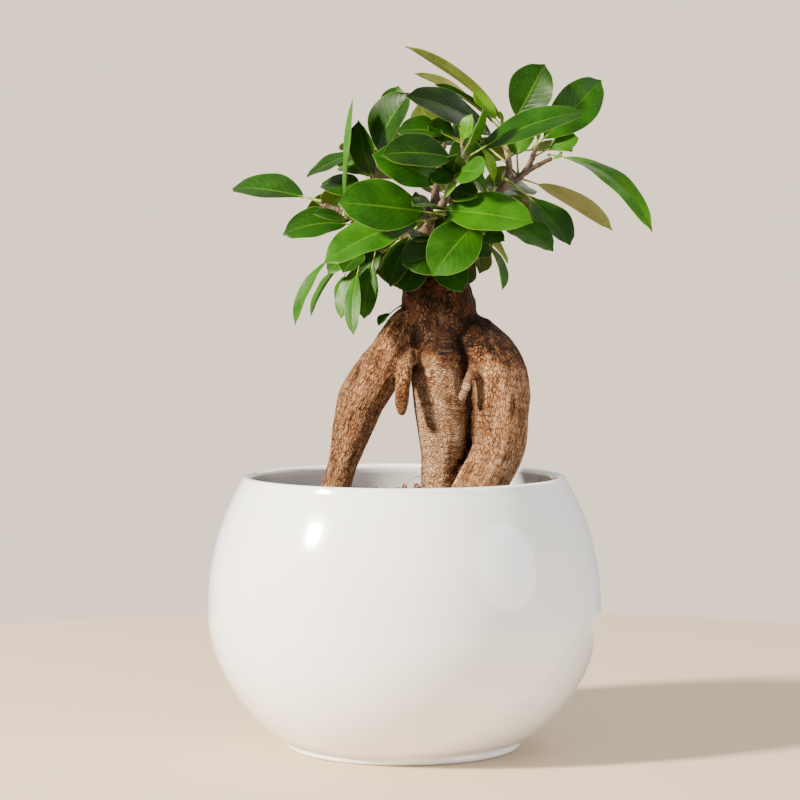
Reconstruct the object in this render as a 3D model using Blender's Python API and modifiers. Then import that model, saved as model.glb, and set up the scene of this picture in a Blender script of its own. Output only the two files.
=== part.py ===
"""Bonsai tree in a pot: a ginseng ficus with three swollen roots, four grafted leafy shoots and a
round glazed bowl. Metres, +Z up, the origin at the centre of the bowl's flat foot, +X to the
right and -Y to the front. Lengths in the lists below are in millimetres."""

import math

import bmesh
import bpy
import numpy as np
from mathutils import Vector
from mathutils.bvhtree import BVHTree

MM = 0.001
GAP = 0.4  # clearance between two pieces that touch on the real plant

# The bowl: two half ellipses meet at its widest height.
BOWL_RADIUS = 95.0
BOWL_WIDEST_Z = 68.0
BOWL_RISE = 107.7  # half axis above the widest height
BOWL_DROP = 82.0  # half axis below it
BOWL_WALL = 4.6
BOWL_FLOOR = 9.0
LIP_Z = 128.6  # where the outer wall ends and the rounded lip starts
LIP_RADIUS = 2.2
FOOT_RADIUS = 54.0
FOOT_HEIGHT = 4.6
FOOT_BEVEL = 1.0
BOWL_STEPS = 44
INSIDE_HEIGHTS = (12, 24, 40, 60, 82, 106, 120, 128.6)

SOIL_Z = 117.6
SOIL_CROWN = 1.4  # how much higher the soil stands at the plant than at the wall

# Each limb of the swollen stock: x, y, z and radius down its centre line.
STOCK_LIMBS = {
    "neck": [(11, 0, 245, 5), (12, 0, 238, 10.5), (14, 0, 227, 14.4), (16.2, 0, 215, 17.6),
             (17, 1, 204, 18), (17, 3, 192, 15)],
    "left": [(8, -1, 208, 8), (1, -5, 201, 9.6), (-6, -6, 189, 10.8), (-14, -6, 178, 11.8),
             (-20, -7, 168, 11.6), (-23, -7, 159, 10.6), (-26, -8, 149, 8.8), (-29, -8, 138, 7.1),
             (-32, -9, 127, 6.8), (-35, -9, 117, 7), (-38, -9, 105, 4.5)],
    "middle": [(16, -1, 201, 14.5), (16, -5, 189, 13.6), (17, -5, 176, 13.6), (19.5, -2, 163, 14.6),
               (20.5, 0.5, 150, 13.6), (19, 3, 138, 10.8), (18, 5, 127, 9.4), (17, 7, 117, 9),
               (17, 8, 104, 6)],
    "right": [(25, 0, 201, 11), (32, -2, 197, 11.5), (40, -4, 189, 13.2), (44, -5, 180, 14.8),
              (46, -6, 171, 15), (46, -7, 161, 14.2), (46, -9, 150, 13), (43, -10, 139, 12.4),
              (37, -13, 128, 12), (31, -16, 117, 11), (26, -18, 105, 7)],
    "aerial_left": [(4, -12, 191, 3.6), (0.5, -18, 184.5, 3.6), (-0.5, -20, 175, 3.5),
                    (-1, -20.3, 167, 3), (-1.3, -20, 161.5, 2)],
    "aerial_right": [(34, -13, 184, 2.2), (31, -19, 178.5, 2.2), (28.5, -20.5, 172, 2),
                     (27, -20.5, 167.5, 1.6)],
}
# Knots and old bud scars on the stock: x, y, z and radius.
STOCK_KNOTS = [(38, -3, 203, 4), (1, -2, 207, 4), (29, -5, 217, 3), (8, 10, 214, 6), (26, 11, 194, 9)]
STOCK_VOXEL = 1.8
STOCK_FACES_KEPT = 0.22

# Each shoot: a main stem, then side stems that start on it. x, y, z and radius.
SHOOTS = {
    "shoot_left": [
        [(4, 0, 243, 3), (-8, -3, 248, 2.6), (-20, -4, 253, 2.1), (-30, -5, 257, 1.7),
         (-40, -5, 261, 1.4)],
        [(-8, -3, 248, 1.8), (-16, -7, 243, 1.6), (-24, -9, 239, 1.4), (-32, -9, 237, 1.2)],
        [(-14, -4, 250, 1.7), (-16, 3, 262, 1.5), (-15, 9, 275, 1.4), (-9, 13, 287, 1.2),
         (-6, 18, 296, 1)],
    ],
    "shoot_front": [
        [(9, -6, 243, 2.8), (11, -17, 249, 2.5), (17, -26, 258, 2.1), (23, -29, 270, 1.8),
         (28, -27, 281, 1.5), (27, -24, 291, 1.2)],
        [(11, -15, 248, 1.6), (17, -18, 241, 1.5), (26, -22, 241, 1.3), (35, -25, 246, 1.1),
         (39, -25, 254, 1)],
    ],
    "shoot_right": [
        [(17, 0, 243, 3.2), (28, 1, 254, 2.8), (40, 2, 263, 2.4), (50, 2, 272, 2),
         (50, 3, 284, 1.6), (48, 5, 292, 1.4), (47, 6, 299, 1.2)],
        [(47, 2, 269, 1.7), (57, 4, 275, 1.5), (62, 3, 284, 1.3), (64, 1, 291, 1.1)],
        [(54, 4, 273, 1.4), (63, 4, 279, 1.2), (71, 2, 283, 1.1)],
    ],
    "shoot_back": [
        [(12, 7, 243, 3), (13, 18, 252, 2.6), (15, 28, 264, 2.1), (17, 33, 278, 1.6),
         (20, 34, 292, 1.2)],
        [(14, 23, 258, 1.7), (1, 30, 262, 1.4), (-12, 35, 266, 1.1)],
        [(15, 27, 263, 1.7), (28, 33, 264, 1.4), (41, 37, 268, 1.1)],
    ],
}
STEM_SIDES = 1  # bevel resolution of a stem, which gives six sides
BARK_COLOUR = (0.36, 0.22, 0.12)

# Each leaf: blade base, tip, width, the way its upper face looks and the bow of its midrib.
LEAVES = {
    "shoot_front": [
        ((15, -34, 258), (60, -48, 251), 25, (0, -8, 6), 3),
        ((10, -33, 254), (-31, -42, 261), 28, (0, -9, 5), 3),
        ((7, -30, 250), (-38, -42, 233), 24, (-1, -7, 8), 4),
        ((15, -36, 270), (-15, -46, 283), 20, (0, -9, 4), 3),
        ((25, -38, 281), (-10, -50, 284), 20, (0, -8, 6), 3),
        ((24, -37, 275), (37, -50, 275), 17, (-3, -7, 7), 2),
        ((35, -30, 252), (13, -45, 227), 24, (1, -9, 3), 3),
        ((24, -26, 239), (-1, -38, 233), 22, (-1, -9, 3), 2),
        ((10, -18, 231), (28, -30, 220), 16, (0, -8, 5), 2),
        ((14, -12, 229), (-1, -26, 219), 15, (0, -7, 7), 2),
        ((3, -16, 244), (-7, -28, 222), 14, (-3, -9, 2), 2),
        ((30, -18, 233), (43, -15, 240), 12, (2, -8, 4), 1),
        ((46, -27, 248), (70, -38, 239), 19, (2, -7, 7), 3),
        ((40, -24, 240), (47, -33, 220), 12, (9, -3, 1), 2),
        ((26, -32, 287), (38, -38, 304), 10, (8, -4, -4), 1),
        ((36, -25, 285), (84, -26, 306), 20, (1, -6, 8), 4),
    ],
    "shoot_right": [
        ((56, -20, 266), (78, -30, 240), 18, (3, -8, 4), 3),
        ((42, -10, 290), (2, -34, 312), 22, (2, -7, 7), 4),
        ((42, 1, 300), (14, -6, 318), 14, (-3, -3, 9), 3),
        ((47, 6, 303), (0, -2, 336), 14, (3, 4, 8), 5),
        ((57, 12, 301), (67, -2, 328), 22, (0, -9, 3), 2),
        ((66, -2, 293), (95, 10, 321), 21, (4, -7, 4), 3),
        ((55, 9, 284), (57, 12, 303), 16, (-1, -8, 2), 2),
        ((71, 6, 287), (84, 0, 293), 11, (0, -8, 5), 1),
        ((76, 0, 284), (119, -16, 249), 20, (5, -5, 8), 8),
        ((64, 10, 269), (103, 28, 251), 17, (2, 5, 9), 3),
        ((40, 22, 284), (24, 40, 306), 18, (-6, 6, 5), 3),
        ((60, 22, 284), (84, 44, 288), 20, (3, 7, 7), 3),
    ],
    "shoot_left": [
        ((-11, 7, 287), (3, -7, 314), 23, (-4, -8, 4), 3),
        ((-10, 25, 299), (-3, 16, 319), 14, (-2, -8, 3), 2),
        ((-14, 4, 276), (-22, -6, 301), 15, (-5, -8, 2), 2),
        ((-28, -8, 263), (-23, -5, 311), 14, (-9, -1, 1), 1),
        ((-21, 14, 286), (-47, 8, 273), 14, (-4, -5, 8), 3),
        ((-48, -6, 266), (-84, 14, 271), 21, (1, -7, 8), 2),
        ((-28, -6, 250), (-58, -12, 247), 17, (0, -8, 6), 3),
        ((-27, -14, 254), (-43, -21, 256), 10, (0, -6, 8), 1),
        ((-41, -10, 239), (-52, -16, 203), 15, (-8, -6, 2), 4),
        ((-30, -7, 230), (-45, -8, 207), 12, (-7, -3, 4), 2),
        ((-20, -18, 238), (-29, -30, 229), 12, (-2, -7, 6), 1),
        ((-9, -3, 236), (-24, -4, 223), 14, (-1, -8, 4), 2),
        ((-26, -2, 226), (-32, 2, 208), 9, (-8, -5, 3), 1),
        ((-22, -12, 229), (-30, -18, 206), 11, (-5, -8, 2), 2),
        ((-15, -22, 228), (-25, -33, 200), 14, (-4, -8, 1), 2),
        ((-12, -8, 231), (-20, -10, 206), 13, (-3, -8, 1), 2),
    ],
    "shoot_back": [
        ((4, 36, 272), (-34, 50, 284), 23, (-2, 7, 8), 4),
        ((-16, 37, 264), (-52, 44, 252), 21, (-3, 5, 8), 4),
        ((2, 38, 258), (-20, 58, 236), 21, (-2, 8, 5), 4),
        ((24, 40, 276), (58, 54, 288), 23, (2, 7, 8), 4),
        ((44, 40, 266), (74, 56, 250), 20, (3, 6, 8), 4),
        ((26, 38, 256), (40, 58, 230), 21, (2, 8, 4), 4),
        ((24, 44, 291), (8, 50, 313), 20, (-1, 9, 4), 3),
        ((12, 30, 248), (6, 46, 220), 18, (0, 9, 3), 3),
    ],
}
SPROUT = ((-7, -8, 208), (-13, -12, 203), 6, (-4, -6, 8), 1)
LEAF_THICKNESS = 0.6
STALK_WIDTH = 1.5
STALK_GAP = 1.1
STALK_REACH = 7.0  # how far behind the blade its stem is looked for
BLADE_STATIONS = (0.0, 0.15, 0.38, 0.62, 0.84)
BLADE_FOLD = 0.16  # rise of the margin over half the blade's width


# ---------------------------------------------------------------- shared helpers
def clear_scene():
    for obj in list(bpy.data.objects):
        bpy.data.objects.remove(obj, do_unlink=True)


def new_collection(name):
    collection = bpy.data.collections.new(name)
    bpy.context.scene.collection.children.link(collection)
    return collection


def make_material(name, colour, roughness, metallic=0.0):
    material = bpy.data.materials.new(name)
    material.use_nodes = True
    shader = material.node_tree.nodes["Principled BSDF"]
    shader.inputs["Base Color"].default_value = (*colour, 1)
    shader.inputs["Roughness"].default_value = roughness
    shader.inputs["Metallic"].default_value = metallic
    return material


def add_object(name, data, material, collection):
    obj = bpy.data.objects.new(name, data)
    collection.objects.link(obj)
    if material:
        data.materials.append(material)
    return obj


def turned(name, profile, steps, material, collection):
    """A body of revolution about Z from an outline of (radius, height) in millimetres."""
    mesh = bpy.data.meshes.new(name)
    points = [(r * MM, 0, z * MM) for r, z in profile]
    mesh.from_pydata(points, [(i, i + 1) for i in range(len(points) - 1)], [])
    obj = add_object(name, mesh, material, collection)
    screw = obj.modifiers.new("Turn", "SCREW")
    screw.steps = screw.render_steps = steps
    screw.use_merge_vertices = True
    screw.merge_threshold = 0.00005
    screw.use_smooth_shade = True
    return obj


def smooth_path(points, steps):
    """Catmull-Rom points through the given ones, with any number of values each."""
    values = np.array(points, float)
    padded = np.vstack([2 * values[0] - values[1], values, 2 * values[-1] - values[-2]])
    found = []
    for i in range(len(values) - 1):
        p0, p1, p2, p3 = padded[i:i + 4]
        for t in np.arange(steps) / steps:
            found.append(0.5 * (2 * p1 + (p2 - p0) * t + (2 * p0 - 5 * p1 + 4 * p2 - p3) * t * t
                                + (3 * p1 - p0 - 3 * p2 + p3) * t ** 3))
    found.append(values[-1])
    return np.array(found)


def tube_mesh(name, path, sides):
    """A closed mesh of a tapering tube along path, whose rows are x, y, z and radius."""
    curve = bpy.data.curves.new(name, "CURVE")
    curve.dimensions = "3D"
    curve.bevel_depth = MM
    curve.bevel_resolution = sides
    curve.use_fill_caps = True
    spline = curve.splines.new("POLY")
    spline.points.add(len(path) - 1)
    for point, (x, y, z, radius) in zip(spline.points, path):
        point.co = (x * MM, y * MM, z * MM, 1)
        point.radius = radius
    guide = bpy.data.objects.new(name + "_guide", curve)
    bpy.context.scene.collection.objects.link(guide)
    graph = bpy.context.evaluated_depsgraph_get()
    mesh = bpy.data.meshes.new_from_object(guide.evaluated_get(graph))
    bpy.data.objects.remove(guide)
    body = bmesh.new()
    body.from_mesh(mesh)
    bmesh.ops.remove_doubles(body, verts=body.verts, dist=0.00001)
    bmesh.ops.recalc_face_normals(body, faces=body.faces)
    body.to_mesh(mesh)
    body.free()
    return mesh


def evaluated_tree(obj):
    """A search tree of the object's finished surface, and of nothing hidden inside it."""
    graph = bpy.context.evaluated_depsgraph_get()
    return BVHTree.FromObject(obj, graph)


# ---------------------------------------------------------------- the bowl and its soil
def bowl_radius(z):
    half = BOWL_RISE if z > BOWL_WIDEST_Z else BOWL_DROP
    return BOWL_RADIUS * math.sqrt(max(0.0, 1 - ((z - BOWL_WIDEST_Z) / half) ** 2))


def inner_radius(z):
    """The inside of the wall, as faceted: the outside moved in by the wall's thickness."""
    return float(np.interp(z, INSIDE_HEIGHTS, [bowl_radius(h) - BOWL_WALL for h in INSIDE_HEIGHTS]))


def lip_arc(count):
    """The rounded lip, from the inside of the wall over to the outside."""
    middle = (inner_radius(LIP_Z) + bowl_radius(LIP_Z)) / 2
    across = (bowl_radius(LIP_Z) - inner_radius(LIP_Z)) / 2
    for i in range(1, count):
        turn = math.pi * i / count
        yield middle - across * math.cos(turn), LIP_Z + LIP_RADIUS * math.sin(turn)


def make_bowl(collection):
    inside = [(0, BOWL_FLOOR), (inner_radius(BOWL_FLOOR) * 0.8, BOWL_FLOOR)]
    inside += [(inner_radius(z), z) for z in INSIDE_HEIGHTS]
    outside = [(bowl_radius(z), z) for z in np.linspace(LIP_Z, FOOT_HEIGHT + 1, 12)]
    foot = [
        (FOOT_RADIUS + 2.6, FOOT_HEIGHT - 0.4),
        (FOOT_RADIUS + 1.6, FOOT_HEIGHT - 1.4),
        (FOOT_RADIUS, FOOT_BEVEL),
        (FOOT_RADIUS - FOOT_BEVEL, 0),
        (0, 0),
    ]
    profile = inside + list(lip_arc(4)) + outside + foot
    glaze = make_material("white_glaze", (0.85, 0.85, 0.84), 0.12)
    return turned("bowl", profile, BOWL_STEPS, glaze, collection)


def make_soil(collection, cutters, stock_paths):
    """Potting mix that fills the bowl to SOIL_Z, with a socket around each root."""
    heights = [SOIL_Z] + [z for z in reversed(INSIDE_HEIGHTS) if z < SOIL_Z]
    wall = [(inner_radius(z) - 2 * GAP, z) for z in heights]
    floor = BOWL_FLOOR + GAP
    profile = [(0, SOIL_Z + SOIL_CROWN), (wall[0][0] * 0.6, SOIL_Z + SOIL_CROWN * 0.6)]
    profile += wall + [(wall[-1][0] * 0.8, floor), (0, floor)]
    mix = make_material("potting_mix", (0.08, 0.05, 0.03), 0.95)
    soil = turned("soil", profile, BOWL_STEPS, mix, collection)
    for limb in ("left", "middle", "right"):
        path = [row for row in stock_paths[limb] if row[2] < SOIL_Z + 16]
        socket = [(x, y, z, radius + 2 * GAP) for x, y, z, radius in path]
        x, y, z, radius = socket[-1]
        socket.append((x, y, z - 8 * GAP, radius))
        cutter = add_object("socket_" + limb, tube_mesh("socket_" + limb, socket, 4), None, cutters)
        cutter.hide_render = True
        cutter.display_type = "WIRE"
        cut = soil.modifiers.new("Socket " + limb, "BOOLEAN")
        cut.operation = "DIFFERENCE"
        cut.object = cutter
    return soil


# ---------------------------------------------------------------- the swollen stock
def make_stock(collection):
    """Neck, three roots and two aerial stubs, grown together as one solid."""
    body = bmesh.new()
    paths = {}
    for limb, points in STOCK_LIMBS.items():
        paths[limb] = smooth_path(points, 3)
        body.from_mesh(tube_mesh(limb, paths[limb], 4))
    for x, y, z, radius in STOCK_KNOTS:
        knot = bmesh.ops.create_icosphere(body, subdivisions=2, radius=radius * MM)
        bmesh.ops.translate(body, verts=knot["verts"], vec=Vector((x, y, z)) * MM)
    mesh = bpy.data.meshes.new("stock")
    body.to_mesh(mesh)
    body.free()
    bark = make_material("stock_bark", BARK_COLOUR, 0.8)
    stock = add_object("stock", mesh, bark, collection)
    fuse = stock.modifiers.new("Fuse", "REMESH")
    fuse.mode = "VOXEL"
    fuse.voxel_size = STOCK_VOXEL * MM
    fuse.use_smooth_shade = True
    soften = stock.modifiers.new("Soften", "SMOOTH")
    soften.factor = 0.5
    soften.iterations = 2
    thin = stock.modifiers.new("Thin", "DECIMATE")
    thin.ratio = STOCK_FACES_KEPT
    return stock, paths


# ---------------------------------------------------------------- shoots and leaves
def make_shoot(name, stems, stock_tree, bark, collection):
    """A grafted shoot: side stems joined to a main stem that starts just off the stock."""
    main = [list(point) for point in stems[0]]
    hit, normal, _, _ = stock_tree.find_nearest(Vector(main[0][:3]) * MM)
    start = hit / MM + normal * 2 * GAP
    lifted = hit / MM + normal * 5
    main = [[*start, main[0][3]], [*lifted, main[0][3] * 0.95]] + main[1:]
    paths = [smooth_path(main, 2)] + [smooth_path(stem, 2) for stem in stems[1:]]
    shoot = add_object(name, tube_mesh(name, paths[0], STEM_SIDES), bark, collection)
    for number, path in enumerate(paths[1:], 1):
        side_name = f"{name}_side_{number}"
        side = add_object(side_name, tube_mesh(side_name, path, STEM_SIDES), None, collection)
        join = shoot.modifiers.new("Join", "BOOLEAN")
        join.operation = "UNION"
        join.object = side
        graph = bpy.context.evaluated_depsgraph_get()
        joined = bpy.data.meshes.new_from_object(shoot.evaluated_get(graph))
        shoot.modifiers.clear()
        shoot.data = joined
        bpy.data.objects.remove(side)
    shoot.data.shade_smooth()
    return shoot


def blade_outline(t):
    """Half the blade's width, as a share of its widest, from its base at 0 to its tip at 1."""
    return math.sin(math.pi * t ** 0.95) ** 0.62


def make_leaf(name, leaf, holder_tree, material, collection):
    """One leaf, stalk and blade, as a folded strip with a thickness."""
    base, tip, width, facing, bow = leaf
    base, tip, facing = Vector(base), Vector(tip), Vector(facing)
    back = base - (tip - base).normalized() * STALK_REACH
    hit, normal, _, _ = holder_tree.find_nearest(back * MM)
    start = hit / MM + normal * STALK_GAP
    along = tip - start
    across = facing.cross(along).normalized()
    up = along.cross(across).normalized()
    share = (base - start).length / ((base - start).length + (tip - base).length)
    stations = [(0.0, STALK_WIDTH / 2)]
    for t in BLADE_STATIONS:
        half = max(STALK_WIDTH / 2, width / 2 * blade_outline(t))
        stations.append((share + (1 - share) * t, half))
    stations.append((1.0, 0.4))
    body = bmesh.new()
    rows = []
    for t, half in stations:
        arch = 4 * t * (1 - t)
        middle = start + along * t + up * bow * arch
        rise = up * half * BLADE_FOLD
        row = [middle - across * half + rise, middle, middle + across * half + rise]
        rows.append([body.verts.new(point * MM) for point in row])
    for first, second in zip(rows, rows[1:]):
        for side in (0, 1):
            body.faces.new((first[side], first[side + 1], second[side + 1], second[side]))
    mesh = bpy.data.meshes.new(name)
    body.to_mesh(mesh)
    body.free()
    obj = add_object(name, mesh, material, collection)
    shell = obj.modifiers.new("Thickness", "SOLIDIFY")
    shell.thickness = LEAF_THICKNESS * MM
    shell.offset = 0
    mesh.shade_smooth()
    return obj


def make_crown(stock, collection):
    bark = make_material("shoot_bark", (0.25, 0.17, 0.09), 0.75)
    green = make_material("leaf_green", (0.07, 0.2, 0.03), 0.35)
    stock_tree = evaluated_tree(stock)
    for name, stems in SHOOTS.items():
        shoot = make_shoot(name, stems, stock_tree, bark, collection)
        shoot_tree = evaluated_tree(shoot)
        side = name.split("_")[1]
        for number, leaf in enumerate(LEAVES[name], 1):
            make_leaf(f"leaf_{side}_{number:02d}", leaf, shoot_tree, green, collection)
    make_leaf("leaf_sprout", SPROUT, stock_tree, green, collection)


def main():
    clear_scene()
    plant = new_collection("bonsai_in_a_pot")
    cutters = new_collection("cutters")
    cutters.hide_render = True
    make_bowl(plant)
    stock, stock_paths = make_stock(plant)
    make_soil(plant, cutters, stock_paths)
    make_crown(stock, plant)


main()
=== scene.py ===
# %% [markdown]
# # A ginseng ficus in a glazed bowl
#
# The plant is a graft: a swollen stock that stands on three thick roots, with leafy shoots of a
# small-leaved ficus set on its top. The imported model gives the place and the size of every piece.
# This script gives each its real surface: a weave of fibrous bark, leaves with a midrib, veins and
# a pale margin, a glossy glaze and loose potting mix.

import math
import random

import bmesh
import bpy
import numpy as np
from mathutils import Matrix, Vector
from mathutils.bvhtree import BVHTree


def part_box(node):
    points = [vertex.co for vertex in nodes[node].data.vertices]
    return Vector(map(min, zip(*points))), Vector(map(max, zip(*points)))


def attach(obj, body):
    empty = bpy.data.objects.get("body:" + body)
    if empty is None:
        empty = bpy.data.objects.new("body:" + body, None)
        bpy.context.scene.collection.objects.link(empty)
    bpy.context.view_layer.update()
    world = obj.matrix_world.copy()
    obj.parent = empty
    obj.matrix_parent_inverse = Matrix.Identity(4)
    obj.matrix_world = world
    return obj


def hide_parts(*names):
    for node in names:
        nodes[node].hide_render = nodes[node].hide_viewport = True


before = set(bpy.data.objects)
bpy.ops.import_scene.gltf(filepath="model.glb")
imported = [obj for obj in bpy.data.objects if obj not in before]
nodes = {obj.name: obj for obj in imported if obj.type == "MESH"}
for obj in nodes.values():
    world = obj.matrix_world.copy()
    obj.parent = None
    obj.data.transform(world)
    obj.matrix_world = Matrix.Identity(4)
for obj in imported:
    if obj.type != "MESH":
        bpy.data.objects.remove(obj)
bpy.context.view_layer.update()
MM = 0.001
leaf_names = sorted(name for name in nodes if name.startswith("leaf_"))
shoot_names = sorted(name for name in nodes if name.startswith("shoot_"))
print(len(leaf_names), "leaves on", len(shoot_names), "shoots")

# %% [markdown]
# ## Camera, floor and light
#
# A plain pale round floor and a few lamps show form and gloss without telling a story of their own.
# The key lamp is low on the left and not very large, as a window with the sun in it is. The crown
# then shades the neck of the stock, which the bark's colour darkens further as a painted
# shadow, and each root has a light and a dark side. The room is brighter to the eye than the light
# that it gives, so that the backdrop stays pale and the shadows deep.
# The camera stands as far off as a long portrait lens would ask for, just below the leaves, and
# looks a little down on the bowl.

# %% Camera
plant_scene = bpy.context.scene


def in_scene(name, data):
    """An object with this data, linked to the scene."""
    made = bpy.data.objects.new(name, data)
    plant_scene.collection.objects.link(made)
    return made


VIEW_DISTANCE = 1.25
VIEW_HEIGHT = 0.2295
VIEW_WIDTH = 0.3848  # how much the picture takes in, across the middle of the plant
aim = Vector((-0.0019, 0, 0.167))
camera_data = bpy.data.cameras.new("portrait_lens")
camera = in_scene("portrait_lens", camera_data)
camera.location = (aim.x, -VIEW_DISTANCE, VIEW_HEIGHT)
to_aim = aim - camera.location
camera.rotation_euler = to_aim.to_track_quat("-Z", "Y").to_euler()
camera_data.sensor_width = 36
camera_data.lens = camera_data.sensor_width * to_aim.length / VIEW_WIDTH
camera_data.clip_start = 0.01
plant_scene.camera = camera
print("lens", round(camera_data.lens), "mm")

# %% Colours and nodes


def linear(code):
    """The linear colour, with alpha, of an sRGB hex code."""
    parts = [int(code[i:i + 2], 16) / 255 for i in (1, 3, 5)]
    return (*[c / 12.92 if c <= 0.04045 else ((c + 0.055) / 1.055) ** 2.4 for c in parts], 1)


def add(tree, kind, inputs=(), stops=(), **settings):
    """Add a node with its settings. kind is its class name, which a shader node gives without its
    ShaderNode. An input is a value, a socket or a node, whose first output is then linked. stops
    are a colour ramp's (place, hex code) pairs."""
    whole_name = kind.startswith(("GeometryNode", "FunctionNode", "NodeGroup"))
    made = tree.nodes.new(kind if whole_name else "ShaderNode" + kind)
    for key, value in settings.items():
        setattr(made, key, value)
    for key, value in dict(inputs).items():
        if isinstance(value, bpy.types.Node):
            value = value.outputs[0]
        if isinstance(value, bpy.types.NodeSocket):
            tree.links.new(value, made.inputs[key])
        else:
            made.inputs[key].default_value = value
    while len(stops) > 2 and len(made.color_ramp.elements) < len(stops):
        made.color_ramp.elements.new(0.5)
    for element, (position, code) in zip(made.color_ramp.elements if stops else (), stops):
        element.position = position
        element.color = linear(code)
    return made


def new_material(name):
    """A material and its node tree, still empty."""
    material = bpy.data.materials.new(name)
    material.use_nodes = True
    material.node_tree.nodes.clear()
    return material, material.node_tree


def speckled(name, scale, detail, breakup, stops, roughness, relief=0):
    """A matt finish: one noise runs its colour through the stops and raises it by relief metres."""
    material, tree = new_material(name)
    where = add(tree, "TexCoord").outputs["Object"]
    spots = add(tree, "TexNoise", {
        "Vector": where, "Scale": scale, "Detail": detail, "Roughness": breakup,
    })
    tint = add(tree, "ValToRGB", {"Fac": spots}, stops=stops)
    skin = {"Base Color": tint, "Roughness": roughness}
    if relief:
        skin["Normal"] = add(tree, "Bump", {"Height": spots, "Strength": 0.8, "Distance": relief})
    add(tree, "OutputMaterial", {"Surface": add(tree, "BsdfPrincipled", skin)})
    return material


# %% Floor and lamps
FLOOR_RADIUS = 0.5
FLOOR_SIDES = 128
floor_turns = [2 * math.pi * i / FLOOR_SIDES for i in range(FLOOR_SIDES)]
floor_edge = [(FLOOR_RADIUS * math.cos(t), FLOOR_RADIUS * math.sin(t), 0) for t in floor_turns]
floor_mesh = bpy.data.meshes.new("studio_floor")
floor_mesh.from_pydata(floor_edge, [], [range(FLOOR_SIDES)])
studio_floor = in_scene("studio_floor", floor_mesh)
matt_paint, tree = new_material("matt_floor_paint")
shader = add(tree, "BsdfPrincipled", {"Base Color": linear("#cdb99f"), "Roughness": 0.7})
add(tree, "OutputMaterial", {"Surface": shader})
floor_mesh.materials.append(matt_paint)
LAMPS_FACE = Vector((0, 0, 0.17))


def softbox(name, spot, size, power, colour, shape="RECTANGLE"):
    """A lamp that faces the plant. A large one near it gives soft shadows."""
    data = bpy.data.lights.new(name, "AREA")
    data.shape = shape
    data.size, data.size_y = size
    data.energy = power
    data.color = linear(colour)[:3]
    lamp = in_scene(name, data)
    lamp.location = spot
    lamp.rotation_euler = (LAMPS_FACE - Vector(spot)).to_track_quat("-Z", "Y").to_euler()


softbox("key_window", (-1.5, -0.85, 1.05), (0.2, 0.26), 182, "#fff2de")
softbox("right_reflector", (1.5, -0.75, 0.55), (1.25, 1.1), 13, "#f6f8ff", "ELLIPSE")
softbox("back_sky", (0.9, 1.4, 1.3), (1.4, 1.0), 10, "#fff8ec")
ROOM_LIGHT = 1.04
ROOM_SEEN = 1.85
world = bpy.data.worlds.new("pale_room")
world.use_nodes = True
plant_scene.world = world
tree = world.node_tree
room = tree.nodes["Background"]
seen = add(tree, "LightPath").outputs["Is Camera Ray"]
strength = add(tree, "MapRange", {0: seen, 3: ROOM_LIGHT, 4: ROOM_SEEN})
paint = add(tree, "Mix", {0: seen, 6: linear("#e9e6e1"), 7: linear("#ead9c3")}, data_type="RGBA")
tree.links.new(strength.outputs[0], room.inputs["Strength"])
tree.links.new(paint.outputs[2], room.inputs["Color"])

# %% [markdown]
# ## Helpers for shaping in numpy
#
# Bark and leaves are shaped by moving the points of a mesh. Value noise is enough for that: random
# numbers on a grid, blended smoothly between the grid's corners. The grid's numbers come from the
# cell's own coordinates, so that each run gives the same surface.

# %% Noise, meshes and copies


def noise(points, cell_mm, seed):
    """Smooth noise from -1 to 1 at each row of points. A cell has one size, or one for each axis."""
    points = points / (np.array(cell_mm) * MM)
    cell = np.floor(points).astype(np.int64)
    part = points - cell
    fade = part * part * (3 - 2 * part)
    total = np.zeros(len(points))
    for corner in ((i, j, k) for i in (0, 1) for j in (0, 1) for k in (0, 1)):
        key = (cell + corner) * np.array([73856093, 19349663, 83492791])
        key = (key[:, 0] ^ key[:, 1] ^ key[:, 2] ^ (seed * 2654435761)) & 0xFFFFFFFF
        key = ((key ^ (key >> 13)) * 1274126177) & 0xFFFFFFFF
        weight = np.where(np.array(corner) == 1, fade, 1 - fade).prod(axis=1)
        total += weight * ((key ^ (key >> 16)) / 2 ** 31 - 1)
    return total


def smooth_step(value, low, high):
    part = np.clip((value - low) / (high - low), 0, 1)
    return part * part * (3 - 2 * part)


def points_of(mesh, kind="co"):
    """The mesh's points, or the normals at them for the kind "normal", in rows of x, y and z."""
    found = np.empty(len(mesh.vertices) * 3, np.float32)
    mesh.vertices.foreach_get(kind, found)
    return found.reshape(-1, 3).astype(float)


def set_points(mesh, points):
    mesh.vertices.foreach_set("co", np.asarray(points, np.float32).ravel())
    mesh.update()


def surface_of(mesh):
    """A search tree of a mesh's faces, for the nearest point on it."""
    corners = [vertex.co for vertex in mesh.vertices]
    return BVHTree.FromPolygons(corners, [tuple(face.vertices) for face in mesh.polygons])


def place(name, mesh, slot, *materials):
    """A finished piece that rides on the plant's one body, with its finishes."""
    piece = in_scene(name, mesh)
    for material in materials:
        mesh.materials.append(material)
    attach(piece, "root")
    return piece


def mesh_from(name, body):
    """The mesh that a bmesh gives. The bmesh is then freed."""
    mesh = bpy.data.meshes.new(name)
    body.to_mesh(mesh)
    body.free()
    return mesh


def mesh_left_by(name, holder):
    """What a holder's modifiers or curve give, as a plain mesh. The holder is then removed."""
    graph = bpy.context.evaluated_depsgraph_get()
    result = bpy.data.meshes.new_from_object(holder.evaluated_get(graph))
    bpy.data.objects.remove(holder)
    result.name = name
    return result


def welded(name, mesh, reach):
    """A copy of a mesh with the points joined that lie within reach."""
    body = bmesh.new()
    body.from_mesh(mesh)
    bmesh.ops.remove_doubles(body, verts=body.verts, dist=reach)
    bmesh.ops.recalc_face_normals(body, faces=body.faces)
    return mesh_from(name, body)


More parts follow.
